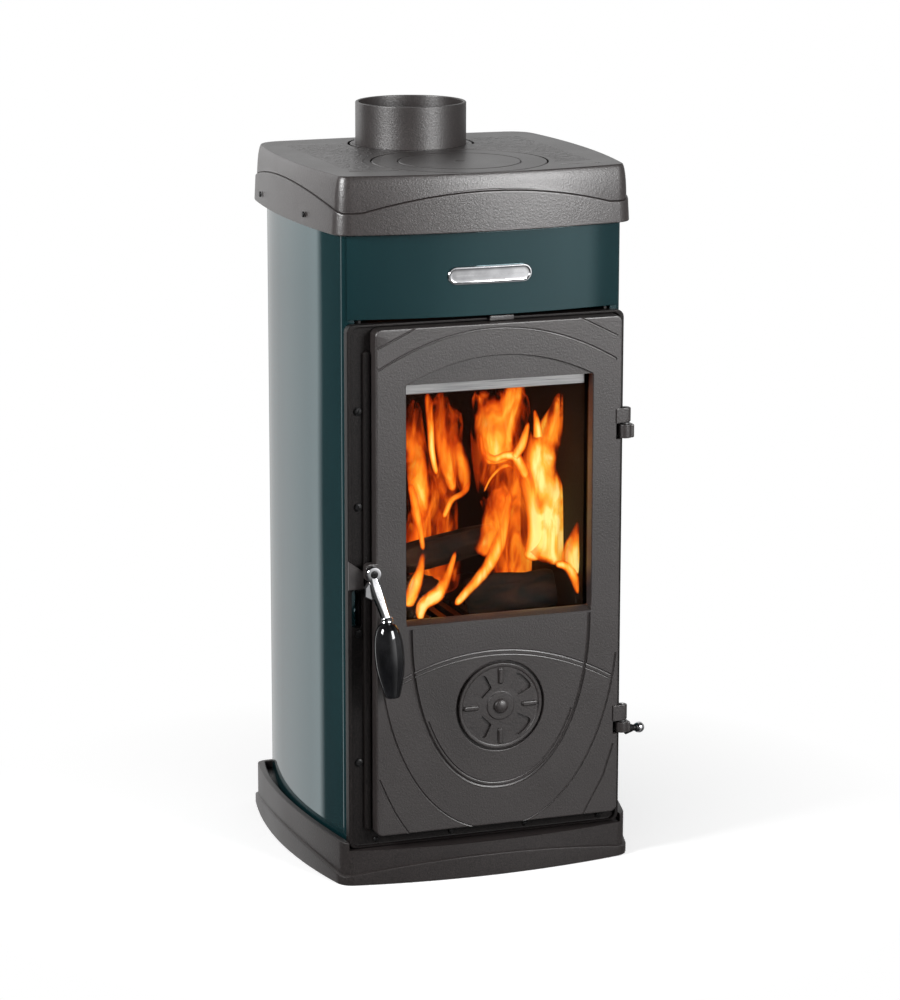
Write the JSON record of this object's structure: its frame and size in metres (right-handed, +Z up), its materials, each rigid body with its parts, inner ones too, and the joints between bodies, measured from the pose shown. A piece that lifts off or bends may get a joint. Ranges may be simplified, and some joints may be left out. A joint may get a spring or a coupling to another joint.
{
  "type": "wood stove",
  "caption": "Free-standing wood stove: bowed enamelled sides between a cast-iron base and lid, one tall glazed door, round hot plate, top flue collar.",
  "frame": {"origin": "floor level; X = 0 is the stove's symmetry plane, and Y = 0 is midway between the handle grip in front and the back of the base", "axes": "+X to the right seen from the front, +Y to the back, +Z up; the door faces -Y"},
  "size_m": [0.4006, 0.3991, 0.8594],
  "materials": {
    "cast_iron": "warm dark grey, sand-cast grain, satin",
    "green_enamel": "glossy vitreous enamel, dark teal green",
    "chrome": "polished",
    "bare_steel": "plain, slightly dull",
    "black_steel": "heat-proof black, satin",
    "black_bakelite": "high gloss",
    "ceramic_glass": "clear, faint warm tint",
    "seal_rope": "woven glass-fibre rope",
    "firebrick": "rough, matt",
    "log_wood": "charred, rough"
  },
  "bodies": {
    "stove_body": {"base_plinth": "cast_iron", "left_side_panel": "green_enamel", "right_side_panel": "green_enamel", "upper_front_panel": "green_enamel", "badge_plate": "chrome", "rear_heat_shield": "black_steel", "front_frame": "cast_iron", "latch_catch": "cast_iron", "frame_screw_left_1": "black_steel", "frame_screw_left_2": "black_steel", "frame_screw_left_3": "black_steel", "frame_screw_left_4": "black_steel", "frame_screw_bottom_1": "black_steel", "frame_screw_bottom_2": "black_steel", "frame_screw_bottom_3": "black_steel", "frame_screw_bottom_4": "black_steel", "frame_hinge_lug_upper": "cast_iron", "hinge_pin_upper": "bare_steel", "frame_hinge_lug_lower": "cast_iron", "hinge_pin_lower": "bare_steel", "top_lid": "cast_iron", "flue_collar": "cast_iron", "lid_screw_left_front": "black_steel", "lid_screw_left_back": "black_steel", "lid_screw_right_front": "black_steel", "lid_screw_right_back": "black_steel", "firebox_shell": "black_steel", "hearth_plate": "cast_iron", "grate": "cast_iron", "liner_left": "firebrick", "liner_right": "firebrick", "liner_back": "firebrick", "baffle_plate": "firebrick", "log_right": "log_wood", "log_left": "log_wood", "log_top": "log_wood"},
    "door_leaf": {"door": "cast_iron", "door_glass": "ceramic_glass", "air_wash_strip": "bare_steel", "glass_seal": "seal_rope", "glass_clip_left": "black_steel", "glass_clip_right": "black_steel", "door_gasket": "seal_rope", "handle_pivot_pin": "black_steel", "rosette_screw": "cast_iron", "door_hinge_lug_upper": "cast_iron", "door_hinge_lug_lower": "cast_iron"},
    "door_handle": {"handle_lever": "chrome", "handle_grip": "black_bakelite"},
    "rosette": {"air_rosette": "cast_iron"},
    "hot_ring": {"hot_plate_ring": "cast_iron"},
    "hot_disc": {"hot_plate_disc": "cast_iron"},
    "ash_drawer": {"ash_pan": "bare_steel"},
    "top_air_slider": {"air_slider": "cast_iron"},
    "side_air_valve": {"side_air_rod": "black_steel", "side_air_rod_ball": "chrome"}
  },
  "joints": [
    {"name": "door_swing", "type": "hinge", "parent": "stove_body", "child": "door_leaf", "pos_m": [0.164, -0.156, 0.34], "axis": [0, 0, 1], "range_deg": [0, 115]},
    {"name": "handle_turn", "type": "hinge", "parent": "door_leaf", "child": "door_handle", "pos_m": [-0.1415, -0.166, 0.367], "axis": [0, -1, 0], "range_deg": [0, 75]},
    {"name": "rosette_turn", "type": "hinge", "parent": "door_leaf", "child": "rosette", "pos_m": [0.0123, -0.161, 0.1987], "axis": [0, -1, 0], "range_deg": [0, 45]},
    {"name": "ring_lift", "type": "slide", "parent": "stove_body", "child": "hot_ring", "axis": [0, 0, 1], "range_m": [0, 0.08]},
    {"name": "disc_lift", "type": "slide", "parent": "hot_ring", "child": "hot_disc", "axis": [0, 0, 1], "range_m": [0, 0.08]},
    {"name": "ash_pan_slide", "type": "slide", "parent": "stove_body", "child": "ash_drawer", "axis": [0, -1, 0], "range_m": [0, 0.012]},
    {"name": "top_air_slide", "type": "slide", "parent": "stove_body", "child": "top_air_slider", "axis": [-1, 0, 0], "range_m": [0, 0.011]},
    {"name": "side_air_slide", "type": "slide", "parent": "stove_body", "child": "side_air_valve", "axis": [-1, 0, 0], "range_m": [0, 0.01]}
  ]
}
